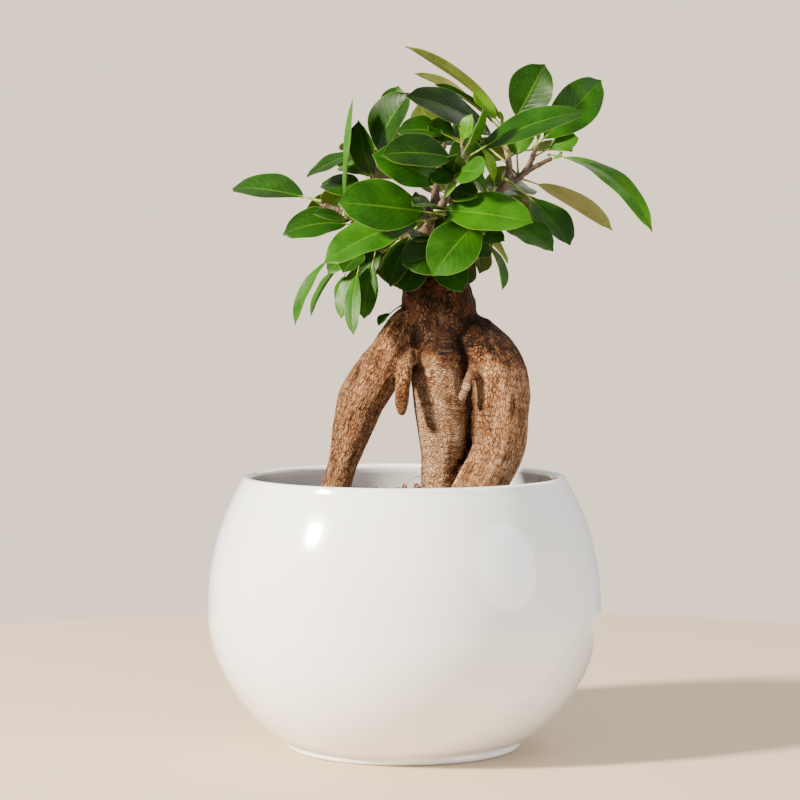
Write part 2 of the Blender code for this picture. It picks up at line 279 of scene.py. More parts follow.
def with_modifiers(name, mesh, steps):
    """The mesh after a list of (kind, settings) modifiers."""
    holder = in_scene(name, mesh)
    for kind, settings in steps:
        modifier = holder.modifiers.new(kind, kind)
        for key, value in settings.items():
            setattr(modifier, key, value)
    return mesh_left_by(name, holder)


# %% [markdown]
# ## The bowl
#
# It is a thrown stoneware bowl dipped in a white gloss glaze. A thrown bowl is a body of
# revolution, so its outline is turned about the axis. The outline's points are the rings of the
# packed bowl, with a smooth curve through them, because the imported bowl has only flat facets.

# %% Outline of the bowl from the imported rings
bowl_points = points_of(nodes["bowl"].data)
rings = np.column_stack([np.hypot(bowl_points[:, 0], bowl_points[:, 1]), bowl_points[:, 2]])
rings = np.unique(np.round(rings, 5), axis=0)
lip_top = rings[:, 1].max()
foot_radius = rings[rings[:, 1] < 0.1 * MM, 0].max()
floor_height = rings[(rings[:, 0] < foot_radius) & (rings[:, 1] > 2 * MM), 1].min()
outside = []
for radius, height in rings[np.argsort(-rings[:, 1])]:
    while len(outside) > 1 and np.cross(
        np.subtract(outside[-1], outside[-2]), np.subtract((radius, height), outside[-1])
    ) >= 0:
        outside.pop()
    outside.append((radius, height))
outside = np.array(outside)
widest = outside[outside[:, 0].argmax()]
upper = outside[(outside[:, 1] >= widest[1]) & (outside[:, 1] < lip_top - MM)]
lower = outside[(outside[:, 1] < widest[1]) & (outside[:, 1] > 5 * MM)]
upper_curve = np.polyfit(upper[:, 1], upper[:, 0] ** 2, 2)
lower_curve = np.polyfit(lower[:, 1], lower[:, 0] ** 2, 2)
heights, counts = np.unique(rings[:, 1], return_counts=True)
lip_base = heights[(counts == 2) & (heights > widest[1])].min()
bowl_wall = np.ptp(rings[rings[:, 1] == lip_base, 0])
print("widest", np.round(widest / MM, 1), "wall", round(bowl_wall / MM, 1), "mm")

# %% Turn the bowl
BOWL_STEPS = 160
INSIDE_THE_BOX = 0.9985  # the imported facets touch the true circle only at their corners


def outer_radius(height):
    curve = upper_curve if height > widest[1] else lower_curve
    return math.sqrt(max(0, np.polyval(curve, height))) * INSIDE_THE_BOX


def turned_mesh(name, outline, steps):
    """A closed body of revolution about Z; the outline starts and ends on the axis."""
    body = bmesh.new()
    turns = [2 * math.pi * i / steps for i in range(steps)]
    rows = []
    for radius, height in outline:
        if radius < 1e-6:
            rows.append([body.verts.new((0, 0, height))] * steps)
        else:
            ring = [(radius * math.cos(t), radius * math.sin(t), height) for t in turns]
            rows.append([body.verts.new(point) for point in ring])
    for first, second in zip(rows, rows[1:]):
        for i in range(steps):
            corners = [first[i - 1], first[i], second[i], second[i - 1]]
            body.faces.new(list(dict.fromkeys(corners)))
    bmesh.ops.recalc_face_normals(body, faces=body.faces)
    mesh = mesh_from(name, body)
    mesh.shade_smooth()
    return mesh


outline = [
    (0, floor_height), (0.55 * foot_radius, floor_height),
    (0.9 * foot_radius, floor_height + 0.4 * MM),
]
inside_heights = np.linspace(floor_height + 5 * MM, lip_base, 40)
outline += [(outer_radius(z) - bowl_wall, z) for z in inside_heights]
lip_middle = outer_radius(lip_base) - bowl_wall / 2
for turn in np.linspace(0, math.pi, 14)[1:-1]:
    outline.append((
        lip_middle - bowl_wall / 2 * math.cos(turn),
        lip_base + (lip_top - lip_base) * math.sin(turn),
    ))
outline += [(outer_radius(z), z) for z in np.linspace(lip_base, 6.2 * MM, 64)]
foot_neck = foot_radius + 3.4 * MM
outline += [
    (foot_neck + out * MM, up * MM) for out, up in (
        (1.7, 4.9), (0.5, 4.4), (0, 3.9), (-0.1, 3.2), (0.3, 2.4), (0.2, 1.4), (-0.5, 0.5),
        (-1.4, 0.1), (-2.4, 0),
    )
]
outline += [(0.5 * foot_radius, 0), (0, 0)]
bowl_mesh = turned_mesh("glazed_bowl", outline, BOWL_STEPS)
print(len(bowl_mesh.polygons), "faces on the bowl")

# %% [markdown]
# The glaze is a layer of glass over a white body, so the finish has a slightly rough white base
# under a clear coat. A fired glaze is never quite level: it has a slow swell of a few centimetres
# and a finer ripple, which bend the reflections a little. The foot's resting face is wiped bare
# before firing, so the clay shows there.

# %% Glazed stoneware
WIPED = 0.3 * MM  # how far up the foot the glaze is wiped off
glazed_stoneware, tree = new_material("glazed_stoneware")
where = add(tree, "TexCoord").outputs["Object"]
swell = add(tree, "TexNoise", {"Vector": where, "Scale": 28, "Detail": 1})
ripple = add(tree, "TexNoise", {"Vector": where, "Scale": 330, "Detail": 2})
level = add(tree, "Math", {0: ripple, 1: 0.05, 2: swell}, operation="MULTIPLY_ADD")
waves = add(tree, "Bump", {"Height": level, "Strength": 0.35, "Distance": 0.0012})
cloud = add(tree, "TexNoise", {"Vector": where, "Scale": 14, "Detail": 3})
white = add(tree, "ValToRGB", {"Fac": cloud}, stops=[(0.3, "#f5f7f7"), (0.7, "#fbfdfd")])
height = add(tree, "SeparateXYZ", {0: where}).outputs[2]
bare = add(tree, "Math", {0: height, 1: WIPED}, operation="LESS_THAN")
grog = add(tree, "TexNoise", {"Vector": where, "Scale": 900, "Detail": 3})
clay = add(tree, "ValToRGB", {"Fac": grog}, stops=[(0.35, "#b9a58c"), (0.65, "#d8cab5")])
skin = add(tree, "Mix", {"Factor": bare, 6: white, 7: clay}, data_type="RGBA")
dull = add(tree, "Math", {0: bare, 1: 0.62, 2: 0.16}, operation="MULTIPLY_ADD")
coat = add(tree, "Math", {0: 1.0, 1: bare}, operation="SUBTRACT")
shader = add(tree, "BsdfPrincipled", {
    "Base Color": skin.outputs[2], "Roughness": dull, "IOR": 1.5, "Normal": waves,
    "Coat Weight": coat, "Coat Roughness": 0.035, "Coat IOR": 1.52,
})
add(tree, "OutputMaterial", {"Surface": shader})
glazed_bowl = place("glazed_bowl", bowl_mesh, "white_glaze", glazed_stoneware)
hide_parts("bowl")

# %% [markdown]
# ## The stock
#
# The stock is the swollen root of a seedling, lifted out of the soil so that its roots stand free.
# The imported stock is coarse. A copy is subdivided, remeshed to even faces of less than a
# millimetre and smoothed, and then its bark is raised and cut with noise.
#
# Bark grows along each root, so the noise has to bend with the roots. The centre line of each root
# is followed upward through thin slices of the mesh. A point's place is then told by how far along
# its root it is and how it lies around it, as if the root were pulled straight.

# %% Remesh the stock
SKIN_FACE = 0.72 * MM
WELD = 0.02 * MM
DEEPEN = 1.2
CLEFT_SHADE_DEPTH = 0.8 * MM  # so far below its softened place, a point is deep in a cleft and fully in painted shade


def remeshed(node, subdivisions, face, rounds):
    """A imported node's mesh, subdivided, remeshed to even faces and smoothed."""
    return with_modifiers(node + "_bark", welded(node + "_copy", nodes[node].data, WELD), [
        ("SUBSURF", {"levels": subdivisions, "render_levels": subdivisions}),
        ("REMESH", {"mode": "VOXEL", "voxel_size": face, "use_smooth_shade": True}),
        ("SMOOTH", {"factor": 0.5, "iterations": rounds}),
    ])


stock_mesh = remeshed("stock", 2, SKIN_FACE, 10)
smoothing = [("SMOOTH", {"factor": 0.5, "iterations": 90})]
softened = with_modifiers("softened", stock_mesh.copy(), smoothing)
# Moving each point away from its softened place deepens the clefts between the roots.
skin_points = points_of(stock_mesh)
away = skin_points - points_of(softened)
skin_points += DEEPEN * away
set_points(stock_mesh, skin_points)
# How deep each point lies in a cleft; the bark's colour is darkened by it as painted shade.
cleft_shade = np.clip(-(away * points_of(stock_mesh, "normal")).sum(axis=1) / CLEFT_SHADE_DEPTH, 0, 1)
print(len(stock_mesh.polygons), "faces on the stock")

# %% Follow the three roots upward
SLICE = 3 * MM
MIDDLE_ROOT_X = 0.012
ROUNDS = 6
low, high = skin_points[:, 2].min(), skin_points[:, 2].max()
levels = np.arange(low + 2 * SLICE, high - 3 * SLICE, SLICE)


def slice_at(height):
    return skin_points[np.abs(skin_points[:, 2] - height) < SLICE / 2]


first = slice_at(levels[2])
across = first[:, 0]
centres = first[[across.argmin(), np.abs(across - MIDDLE_ROOT_X).argmin(), across.argmax()]]
tracks = []
for level in levels:
    ring = slice_at(level)
    for _ in range(ROUNDS):
        nearest = np.linalg.norm(ring[:, None, :2] - centres[None, :, :2], axis=2).argmin(axis=1)
        centres = np.array([
            ring[nearest == k].mean(axis=0) if k in nearest else centres[k] for k in range(3)
        ])
    tracks.append(np.column_stack([centres[:, :2], [level] * 3]))
tracks = np.array(tracks).transpose(1, 0, 2)
for _ in range(ROUNDS):
    tracks[:, 1:-1] = (tracks[:, :-2] + 2 * tracks[:, 1:-1] + tracks[:, 2:]) / 4
print("roots start at x =", np.round(tracks[:, 0, 0] / MM), "mm")

# %% Straightened places
BLEND = 3.5 * MM  # where two roots meet, their places merge over this distance


def straightened(points):
    """For each point: its place with its root pulled straight, and its share of each root."""
    places, gaps = [], []
    for track in tracks:
        runs = np.gradient(track, axis=0)
        steps = np.linalg.norm(runs, axis=1)
        along = runs / steps[:, None]
        length = np.concatenate([[0], np.cumsum((steps[1:] + steps[:-1]) / 2)])
        side = np.cross(along, (0, 1, 0))
        side /= np.linalg.norm(side, axis=1)[:, None]
        front = np.cross(along, side)
        distance = np.linalg.norm(points[:, None] - track[None], axis=2)
        index = distance.argmin(axis=1)
        offset = points - track[index]
        places.append(np.column_stack([
            (offset * side[index]).sum(axis=1),
            (offset * front[index]).sum(axis=1),
            length[index] + (offset * along[index]).sum(axis=1),
        ]))
        gaps.append(distance[np.arange(len(points)), index])
    gaps = np.array(gaps)
    share = np.exp(-(gaps - gaps.min(axis=0)) / BLEND)
    share /= share.sum(axis=0)
    return (np.array(places) * share[:, :, None]).sum(axis=0), share


flow, share = straightened(skin_points)

# %% Raise the bark
skin_normals = points_of(stock_mesh, "normal")
sway = np.column_stack([noise(flow, 9, k) for k in (1, 2, 3)]) * 1.2 * MM
bent = flow + sway
fibres = 1 - 2 * np.abs(noise(bent, (2.1, 2.1, 12), 4))
threads = 1 - 2 * np.abs(noise(bent, (1.4, 1.4, 5), 5))
rings = 1 - 2 * np.abs(noise(bent, (6, 6, 1.7), 6))
lumps = noise(flow, 14, 8) + 0.5 * noise(flow, 6, 9)
# The middle root is ringed like knitting, the outer ones are mostly fibrous.
ringed = smooth_step(0.6 * noise(flow, 20, 10) + share[1], 0.25, 0.75)
relief = (1 - ringed) * (0.65 * fibres + 0.35 * threads) + ringed * (0.65 * rings + 0.35 * threads)
# Old bud scars are rough, raised and dark: their places and radii, in mm.
SCARS = (
    (37, -9, 204, 4.5), (30, -14, 216, 3), (-3, -14, 203, 3), (24, -16, 228, 2.5),
    (9, -13, 222, 2.5),
)
scar = sum(
    np.exp(-((skin_points - np.array((x, y, z)) * MM) ** 2).sum(axis=1) / (radius * MM) ** 2)
    for x, y, z, radius in SCARS
)
rough = noise(skin_points, 1.5, 11) + 0.6 * noise(skin_points, 3, 12)
graft_height = skin_points[:, 2].max() - skin_points[:, 2]
callus = smooth_step(graft_height, 16 * MM, 4 * MM)
lift = 0.17 * relief + 0.4 * lumps + scar * (0.6 + 0.9 * rough) + callus * (0.5 + 0.7 * rough)
set_points(stock_mesh, skin_points + skin_normals * (lift * MM)[:, None])
stock_mesh.shade_smooth()
# Painted shadow of the crown: the bark's colour under the graft is darkened down to the
# roots' shoulders. It reaches lowest in front and is weaker behind.
crown_shadow_edge = 215 * MM - 28 * MM * smooth_step(skin_points[:, 0], -4 * MM, 8 * MM)
behind = smooth_step(skin_points[:, 1], -9 * MM, 10 * MM)
uneven = 6 * noise(skin_points, 11, 13) + 4 * noise(skin_points, 4, 14)
crown_shadow_edge += MM * (13 * behind + uneven)
painted_crown_shadow = smooth_step(skin_points[:, 2] - crown_shadow_edge, -8 * MM, 9 * MM)
# The bark's colour: clefts are darkened as painted shade, raised relief is lighter partly as painted
# highlight, and scars and the callus are darker bark.
shade = 0.66 + 0.28 * relief - 0.85 * cleft_shade - 0.3 * np.minimum(scar, 1) - 0.1 * callus
shade -= (0.5 - 0.17 * behind) * painted_crown_shadow
# Painted light and shade: outside the crown shadow the middle root's colour is lightened and the
# left root's darkened.
shade += (0.12 * share[1] - 0.12 * share[0]) * (1 - painted_crown_shadow)
shade = np.clip(shade, 0, 1)
for name, kind, key, values in (
    ("flow", "FLOAT_VECTOR", "vector", flow), ("shade", "FLOAT", "value", shade),
    ("ringed", "FLOAT", "value", ringed),
):
    layer = stock_mesh.attributes.new(name, kind, "POINT")
    layer.data.foreach_set(key, values.astype(np.float32).ravel())
print("bark relief", np.round(np.ptp(lift), 1), "mm")

# %% [markdown]
# Living ficus bark is thin, tan and fibrous. Its skin has split into a fine weave as the root
# swelled: small plates in rows, pale on top as bark colour and partly as a painted highlight, with
# narrow brown seams between them. On the middle root the plates lie crosswise, like knitting, and
# on the outer roots they are drawn out along the root. Two cell patterns on the straightened places
# make the plates, and keep most of a grid's order. A fine noise gives the fibres, and a few thin
# dark cracks cross them. All of it is too fine for the mesh, so it is a bump and a colour in the
# finish, on top of the coarser relief.

# %% Living bark
SWAY = 1.4 * MM  # how far the seams wander
living_bark, tree = new_material("living_ficus_bark")
straight = add(tree, "Attribute", attribute_name="flow").outputs["Vector"]
relief_shade = add(tree, "Attribute", attribute_name="shade").outputs["Fac"]
ring_share = add(tree, "Attribute", attribute_name="ringed").outputs["Fac"]
bend = add(tree, "TexNoise", {"Vector": straight, "Scale": 210, "Detail": 2})
bend = add(tree, "VectorMath", {0: bend.outputs["Color"], 1: (SWAY,) * 3}, operation="MULTIPLY")
wavy = add(tree, "VectorMath", {0: straight, 1: bend}, operation="ADD")


def plates(across_mm, along_mm):
    """0 in the seams and 1 on the plates of a weave with this size of plate."""
    stretched = add(tree, "VectorMath", {
        0: wavy, 1: (1000 / across_mm, 1000 / across_mm, 1000 / along_mm),
    }, operation="MULTIPLY")
    cells = add(tree, "TexVoronoi", {"Vector": stretched, "Scale": 1.0, "Randomness": 0.7},
                feature="DISTANCE_TO_EDGE")
    return add(tree, "MapRange", {0: cells, 2: 0.24}, interpolation_type="SMOOTHSTEP")


crosswise = plates(1.9, 0.95)
lengthwise = plates(0.85, 4.0)
net = add(tree, "Mix", {0: ring_share, 2: lengthwise, 3: crosswise})
fibre_way = add(tree, "VectorMath", {0: wavy, 1: (2100, 2100, 620)}, operation="MULTIPLY")
fibre = add(tree, "TexNoise", {"Vector": fibre_way, "Scale": 1, "Detail": 3, "Roughness": 0.7})
crack_way = add(tree, "VectorMath", {0: wavy, 1: (70, 70, 380)}, operation="MULTIPLY")
crack = add(tree, "TexNoise", {"Vector": crack_way, "Scale": 1, "Detail": 1})
crack = add(tree, "Math", {0: crack, 1: -0.5}, operation="ADD")
crack = add(tree, "Math", {0: crack}, operation="ABSOLUTE")
crack = add(tree, "MapRange", {0: crack, 2: 0.018, 3: 1.0, 4: 0.0})
where_cracked = add(tree, "TexNoise", {"Vector": straight, "Scale": 60, "Detail": 1})
where_cracked = add(tree, "MapRange", {0: where_cracked, 1: 0.52, 2: 0.7})
crack = add(tree, "Math", {0: crack, 1: where_cracked}, operation="MULTIPLY")
level = add(tree, "Math", {0: net, 1: 0.7, 2: fibre}, operation="MULTIPLY_ADD")
level = add(tree, "Math", {0: crack, 1: -0.5, 2: level}, operation="MULTIPLY_ADD")
depth = add(tree, "Math", {0: relief_shade, 1: 0.85, 2: -0.64}, operation="MULTIPLY_ADD")
for pattern, weight in ((fibre, 0.8), (net, 0.22), (crack, -0.26)):
    depth = add(tree, "Math", {0: pattern, 1: weight, 2: depth}, operation="MULTIPLY_ADD")
# Raised plates and fibres run to the ramp's pale end: bark colour, and partly a painted highlight.
tan = add(tree, "ValToRGB", {"Fac": depth}, stops=[
    (0.05, "#26150b"), (0.25, "#613d23"), (0.42, "#956743"), (0.6, "#be9069"), (0.84, "#e9c8a3"),
])
patch = add(tree, "TexNoise", {"Vector": straight, "Scale": 75, "Detail": 4, "Roughness": 0.7})
rust = add(tree, "MapRange", {0: patch, 1: 0.5, 2: 0.72, 3: 0.0, 4: 0.5})
pale = add(tree, "MapRange", {0: patch, 1: 0.3, 2: 0.44, 3: 0.26, 4: 0.0})
skin = tan.outputs[0]
for amount, colour in ((rust, "#80451f"), (pale, "#c49f72")):
    skin = add(tree, "Mix", {0: amount, 6: skin, 7: linear(colour)}, data_type="RGBA").outputs[2]
bump = add(tree, "Bump", {"Height": level, "Strength": 1.0, "Distance": 0.0026})
shader = add(tree, "BsdfPrincipled", {
    "Base Color": skin, "Roughness": 0.85, "IOR": 1.45, "Specular IOR Level": 0.2,
    "Normal": bump,
})
add(tree, "OutputMaterial", {"Surface": shader})
stock_skin = place("stock_skin", stock_mesh, "stock_bark", living_bark)
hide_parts("stock")
stock_tree = surface_of(stock_mesh)

# %% [markdown]
# ## The shoots
#
# A packed shoot has six flat sides. Remeshing a copy to faces of a third of a millimetre rounds it
# and fuses its forks as growth does. A young ficus stem is grey-brown, ringed where its leaves
# sat, and dotted with pale pores.

# %% Round the shoots and ring them
SHOOT_FACE = 0.34 * MM
GRAFT = (0.011, 0, 0.243)
RING_STEP = 6.5 * MM  # from one old leaf's ring to the next
young_bark, tree = new_material("young_shoot_bark")
where = add(tree, "TexCoord").outputs["Object"]
mottle = add(tree, "TexNoise", {"Vector": where, "Scale": 700, "Detail": 4, "Roughness": 0.6})
streak = add(tree, "TexNoise", {"Vector": where, "Scale": 120, "Detail": 2})
mixed = add(tree, "Math", {0: mottle, 1: 0.6, 2: streak}, operation="MULTIPLY_ADD")
brown = add(tree, "ValToRGB", {"Fac": mixed}, stops=[
    (0.55, "#281b12"), (0.75, "#4a3828"), (0.95, "#726049"), (1.0, "#96876a"),
])
bump = add(tree, "Bump", {"Height": mottle, "Strength": 0.6, "Distance": 0.0005})
shader = add(tree, "BsdfPrincipled", {"Base Color": brown, "Roughness": 0.62, "Normal": bump})
add(tree, "OutputMaterial", {"Surface": shader})

shoot_skins = []
for name in shoot_names:
    mesh = remeshed(name, 1, SHOOT_FACE, 5)
    points = points_of(mesh)
    from_graft = np.linalg.norm(points - GRAFT, axis=1)
    rings_out = np.maximum(0, np.cos(from_graft / RING_STEP * 2 * math.pi)) ** 14
    lift = 0.26 * MM * rings_out + 0.12 * MM * noise(points, 1.6, 21) + 0.18 * MM
    set_points(mesh, points + points_of(mesh, "normal") * lift[:, None])
    mesh.shade_smooth()
    skin = place(name + "_skin", mesh, "shoot_bark", young_bark)
    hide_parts(name)
    shoot_skins.append(skin)
print([len(skin.data.polygons) for skin in shoot_skins], "faces")

# %% [markdown]
# ## The leaves
#
# A leaf is a thin blade, folded along a midrib, on a round stalk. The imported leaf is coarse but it
# holds all that sets a leaf apart: where the stalk starts, where the tip is, which way the face
# looks, how wide the blade is, how far the midrib bows and where the stalk ends. These are measured
# from its points, and one function then grows the fine leaf from them.

# %% Measure a packed leaf
STATION = 0.15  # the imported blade's first wide row, as a share of the blade's length
END_SIZE = 1.7 * MM  # the points of a leaf's end lie as near to each other as this
PACKED_BULGE = 0.969  # the widest packed row over the true greatest width
stem_trees = [surface_of(nodes[name].data) for name in (*shoot_names, "stock")]


def stem_distance(point):
    return min(tree.find_nearest(Vector(point))[3] for tree in stem_trees)


def unit(vector):
    return vector / np.linalg.norm(vector)


def measure_leaf(name):
    """Where a packed leaf starts and ends, its directions, width, stalk share and bow."""
    points = np.unique(np.round(points_of(nodes[name].data), 6), axis=0)
    gaps = np.linalg.norm(points[:, None] - points[None], axis=2)
    ends = np.unravel_index(gaps.argmax(), gaps.shape)
    ends = sorted(ends, key=lambda i: stem_distance(points[i]))
    start, tip = [points[gaps[i] < END_SIZE].mean(axis=0) for i in ends]
    along = unit(tip - start)
    length = np.linalg.norm(tip - start)
    offset = points - start
    run = offset @ along
    offset = offset - run[:, None] * along
    _, _, axes = np.linalg.svd(offset - offset.mean(axis=0))
    across = unit(axes[0] - (axes[0] @ along) * along)
    up = np.cross(along, across)
    share = run / length
    sideways = offset @ across
    raised = offset @ up
    arch = 4 * share * (1 - share)
    terms = np.column_stack([arch, np.abs(sideways), np.ones(len(points))])
    bow, fold, _ = np.linalg.lstsq(terms, raised, rcond=None)[0]
    if fold < 0:
        up, across, bow = -up, -across, -bow
    widest_row = np.abs(sideways).max()
    first_wide = share[np.abs(sideways) > 0.45 * widest_row].min()
    return {
        "start": start, "along": along, "across": across, "up": up, "length": length,
        "width": 2 * widest_row / PACKED_BULGE, "bow": bow,
        "stalk": float(np.clip((first_wide - STATION) / (1 - STATION), 0.05, 0.6)),
    }


measured = {name: measure_leaf(name) for name in leaf_names}
lengths = [leaf["length"] * (1 - leaf["stalk"]) / MM for leaf in measured.values()]
print("blades from", round(min(lengths)), "to", round(max(lengths)), "mm long")

# %% Grow a fine leaf
ROWS = 34
COLUMNS = 7  # on each side of the midrib
BLADE_FOLD = 0.16
GROOVE_DEPTH, GROOVE_WIDTH = 0.22 * MM, 0.6 * MM  # along the midrib on the upper face
KEEL_DEPTH, KEEL_WIDTH = 0.7 * MM, 0.5 * MM  # the midrib on the lower face
NARROWEST = 0.035  # a row's least half width, as a share of the greatest
STALK_SIDES = 8
STALK_STEPS = 10


def blade_half_width(q):
    """Half the blade's width over its widest, from its base at 0 to its pointed tip at 1."""
    body = math.sin(math.pi * q ** 1.12) ** 0.62
    point = 1 - 0.5 * float(smooth_step(q, 0.9, 0.99))
    return body * point


def grow_leaf(body, leaf):
    """Add a closed blade with an upper and a lower face, and a round stalk that runs into it."""
    layer = body.loops.layers.uv["blade_map"]
    tone = body.verts.layers.float["tone"]
    chance = random.Random(leaf["seed"])
    length, half = leaf["length"], leaf["width"] / 2
    wave = chance.uniform(0.2, 0.6) * MM * min(1.0, half / (9 * MM))
    wave_phase = chance.uniform(0, 6.28)
    wave_count = chance.uniform(1.2, 2.6)
    cup = chance.uniform(-0.8, 1.5) * MM * half / (10 * MM)
    tip_turn = chance.uniform(-1.5, 3.5) * MM * length / (50 * MM)
    swing = chance.uniform(-1, 1) * 1.4 * MM
    twist = chance.uniform(-0.15, 0.15) + leaf.get("twist", 0)
    shoulder = chance.uniform(0.88, 1.15)
    shade = leaf.get("tone", chance.uniform(0.25, 0.6))
    start, along, across, up = (leaf[key] for key in ("start", "along", "across", "up"))
    places = {}

    def corner(point, place):
        vertex = body.verts.new(point)
        vertex[tone] = shade
        places[vertex] = place
        return vertex

    def fill(corners, slot):
        face = body.faces.new(corners)
        face.material_index = slot
        face.smooth = True
        for loop in face.loops:
            loop[layer].uv = places[loop.vert]

    def midrib(t):
        arch = 4 * t * (1 - t)
        blade = max(0.0, (t - leaf["stalk"]) / (1 - leaf["stalk"]))
        return (
            start + along * length * t + up * (leaf["bow"] * arch - tip_turn * blade ** 3)
            + across * swing * math.sin(math.pi * t)
        )

    top_rows, low_rows = [], []
    for row in range(ROWS + 1):
        q = (row / ROWS) ** 0.95
        centre = midrib(leaf["stalk"] + (1 - leaf["stalk"]) * q)
        reach = half * max(NARROWEST, blade_half_width(q ** shoulder)) if row < ROWS else 0.3 * MM
        turn = twist * q
        side = across * math.cos(turn) + up * math.sin(turn)
        face = up * math.cos(turn) - across * math.sin(turn)
        top, low = [], []
        for column in range(-COLUMNS, COLUMNS + 1):
            s = column / COLUMNS
            s = math.copysign(abs(s) ** 0.85, s)
            edge = abs(s) ** 3
            rise = reach * abs(s) * BLADE_FOLD + cup * s * s * math.sin(math.pi * q)
            phase = wave_count * 2 * math.pi * q + wave_phase + (s > 0) * 1.9
            rise += wave * edge * math.sin(phase)
            middle = centre + side * s * reach + face * rise
            from_rib = abs(s) * reach
            groove = GROOVE_DEPTH * math.exp(-((from_rib / GROOVE_WIDTH) ** 2)) * (1 - q) ** 0.5
            keel = KEEL_DEPTH * math.exp(-((from_rib / KEEL_WIDTH) ** 2)) * (1 - 0.85 * q)
            thick = (0.2 - 0.08 * edge) * MM
            place = (q, 0.5 + 0.5 * s)
            top.append(corner(middle + face * (thick - groove), place))
            low.append(corner(middle - face * (thick + keel), place))
        top_rows.append(top)
        low_rows.append(low)
    last = 2 * COLUMNS
    for r in range(ROWS):
        top, next_top, low, next_low = top_rows[r], top_rows[r + 1], low_rows[r], low_rows[r + 1]
        for c in range(last):
            fill((top[c], top[c + 1], next_top[c + 1], next_top[c]), 0)
            fill((low[c], next_low[c], next_low[c + 1], low[c + 1]), 1)
        fill((top[0], next_top[0], next_low[0], low[0]), 0)
        fill((top[last], low[last], next_low[last], next_top[last]), 0)
    top, low, last_top, last_low = top_rows[0], low_rows[0], top_rows[ROWS], low_rows[ROWS]
    for c in range(last):
        fill((top[c], low[c], low[c + 1], top[c + 1]), 0)
        fill((last_top[c], last_top[c + 1], last_low[c + 1], last_low[c]), 0)

    root = -1.5 * MM / length
    stalk_end = leaf["stalk"] + (1 - leaf["stalk"]) * 0.07
    slim = min(1.0, 0.5 + leaf["width"] / (40 * MM))
    stalk_rings = []
    for step in range(STALK_STEPS + 1):
        part = step / STALK_STEPS
        centre = midrib(root + (stalk_end - root) * part) - up * 0.25 * MM * part
        radius = (0.55 + 0.45 * (1 - part) ** 6 - 0.1 * part) * MM * slim
        ring = []
        for i in range(STALK_SIDES):
            turn = 2 * math.pi * i / STALK_SIDES
            offset = across * radius * math.cos(turn) + up * radius * 0.85 * math.sin(turn)
            ring.append(corner(centre + offset, (part, i / STALK_SIDES)))
        stalk_rings.append(ring)
    for first, second in zip(stalk_rings, stalk_rings[1:]):
        for i in range(STALK_SIDES):
            fill((first[i - 1], first[i], second[i], second[i - 1]), 2)
    fill(stalk_rings[0][::-1], 2)
    fill(stalk_rings[-1], 2)


def leaves_mesh(name, leaves):
    """One mesh of closed leaves, with the blades' map and a tone from dark to bright."""
    body = bmesh.new()
    body.loops.layers.uv.new("blade_map")
    body.verts.layers.float.new("tone")
    for leaf in leaves:
        grow_leaf(body, leaf)
    bmesh.ops.recalc_face_normals(body, faces=body.faces)
    mesh = mesh_from(name, body)
    mesh.set_sharp_from_angle(angle=math.radians(60))
    return mesh


# %% [markdown]
# The upper face of a ficus leaf is waxy and dark, with a paler midrib, faint side veins that leave
# it at a slant, and a thin yellow-green margin. The lower face is matt and olive. A blade is thin
# enough to glow lime when the light is behind it, so each face lets part of the light through.
# The blade's own map says how far along and how far out a point is, and the veins follow it.

# %% Waxy leaf, upper and lower face
VEIN_PAIRS = 9
VEIN_SLANT = 0.34


